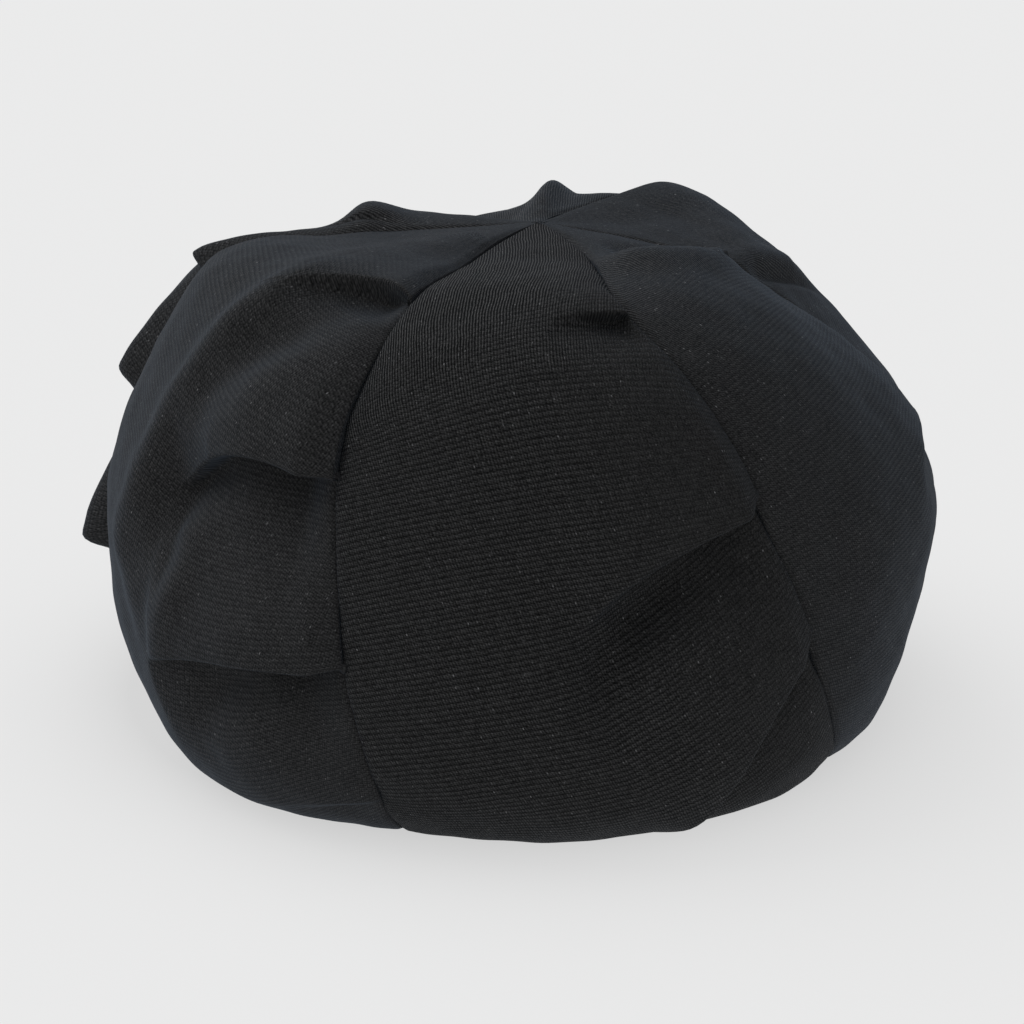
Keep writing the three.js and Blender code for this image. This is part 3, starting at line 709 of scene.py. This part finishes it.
# Headband: one knitted strip folded double along its lower edge and joined into a ring, in millimetres
band = {
    "side": 85, "front": 93.5, "layer": 0.9, "inner": 0.1, "outer": 2.1, "height": 30, "foldRise": 1,
    "around": 220, "upRows": 16, "foldRows": 7, "stitchRise": 5, "stitchDip": 0.16, "stitchWide": 0.8,
    "slack": 0.12, "slackWaves": 9, "slackOver": 12,
}


def ringPoint(angle, grow, height):
    x = (band["side"] + grow) * np.sin(angle)
    y = -(band["front"] + grow) * np.cos(angle)
    return np.stack(np.broadcast_arrays(x, y, height), -1)


def bandSurface():
    turn = np.linspace(0, 2 * np.pi, band["around"] + 1)[:, None]
    midway, half = (band["inner"] + band["outer"]) / 2, (band["outer"] - band["inner"]) / 2
    rise = np.linspace(band["height"], band["foldRise"], band["upRows"])
    swing = np.linspace(0, np.pi, band["foldRows"] + 2)[1:-1]
    face = np.full(len(rise), half)
    grow = np.concatenate([-face, -half * np.cos(swing), face])
    height = np.concatenate([rise, band["foldRise"] - half * np.sin(swing), rise[::-1]])
    stitch = np.exp(-((height - band["stitchRise"]) / band["stitchWide"]) ** 2)
    dip = band["stitchDip"] * stitch * np.sign(grow)
    slack = band["slack"] * np.sin(band["slackWaves"] * turn) * smooth(height / band["slackOver"])
    points = ringPoint(turn, midway + grow - dip + slack, height)
    run = np.concatenate([[0], np.cumsum(np.hypot(np.diff(grow), np.diff(height)))])
    length = np.concatenate([[0], np.cumsum(np.linalg.norm(np.diff(points[:, -1], axis=0), axis=-1))])
    return points, np.stack(np.broadcast_arrays(length[:, None], run), -1)


points, lay = bandSurface()
strip = gridPiece("headband_strip", points[::-1], lay[::-1], bandCloth)
closeUp(strip)
thicken(strip, band["layer"])
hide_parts("headband")
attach(strip, "root")
print("headband made, strip", round(float(lay[..., 1].max()), 1), "by", round(float(lay[..., 0].max()), 1))


# Peak: a stiffened crescent covered in the same cloth, rounded at its free edge, in millimetres
peak = {
    "halfAngle": 61, "reach": 54, "least": 3, "thickness": 3.6, "clearance": 0.35, "arch": 5.2, "droop": 2.4,
    "lift": 0.4, "wall": 2.2, "around": 97, "outRows": 22, "rimRows": 8, "roundness": 0.8, "taper": 8,
    "archPower": 1.5, "stitchIn": 5, "stitchDip": 0.3, "stitchWide": 0.7, "stitchEnd": 0.2,
}


def peakSurface():
    share = np.linspace(-1, 1, peak["around"])[:, None]
    angle = np.pi + np.radians(peak["halfAngle"]) * share
    crest = np.clip(np.cos(share * np.pi / 2), 0, 1)
    reach = peak["least"] + peak["reach"] * crest ** peak["roundness"]
    half = peak["thickness"] / 2 * np.sqrt(np.clip(1 - share ** peak["taper"], 0, 1))
    # From the inner edge out along the underside, round the rim and back along the top.
    outward = np.linspace(0, 1, peak["outRows"])[:-1]
    rim = np.linspace(-np.pi / 2, np.pi / 2, peak["rimRows"])
    face = np.ones(len(outward))
    out = np.concatenate([outward, np.ones(len(rim)), outward[::-1]])
    over = np.concatenate([-face, np.sin(rim), face])
    over[0] = over[-1] = 0
    inset = np.concatenate([0 * face, 1 - np.cos(rim), 0 * face])
    along = np.minimum(reach * out, reach - half)
    grow = peak["wall"] + peak["clearance"] + np.where(inset + (out == 1) > 0, reach - half * inset, along)
    under = peak["lift"] + peak["arch"] * crest ** peak["archPower"] - peak["droop"] * crest * out ** 2
    stitch = np.exp(-((reach - along - peak["stitchIn"]) / peak["stitchWide"]) ** 2)
    dip = peak["stitchDip"] * stitch * (crest > peak["stitchEnd"])
    points = ringPoint(angle, grow, under + peak["thickness"] / 2 + over * (half - dip))
    steps = np.linalg.norm(np.diff(points, axis=1), axis=-1)
    run = np.concatenate([np.zeros((len(points), 1)), np.cumsum(steps, axis=1)], 1)
    return points, np.stack([points[..., 0], run], -1)


points, lay = peakSurface()
crescent = gridPiece("peak_crescent", points[::-1], lay[::-1], peakCloth)
closeUp(crescent)
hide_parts("peak")
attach(crescent, "root")
print("peak made")
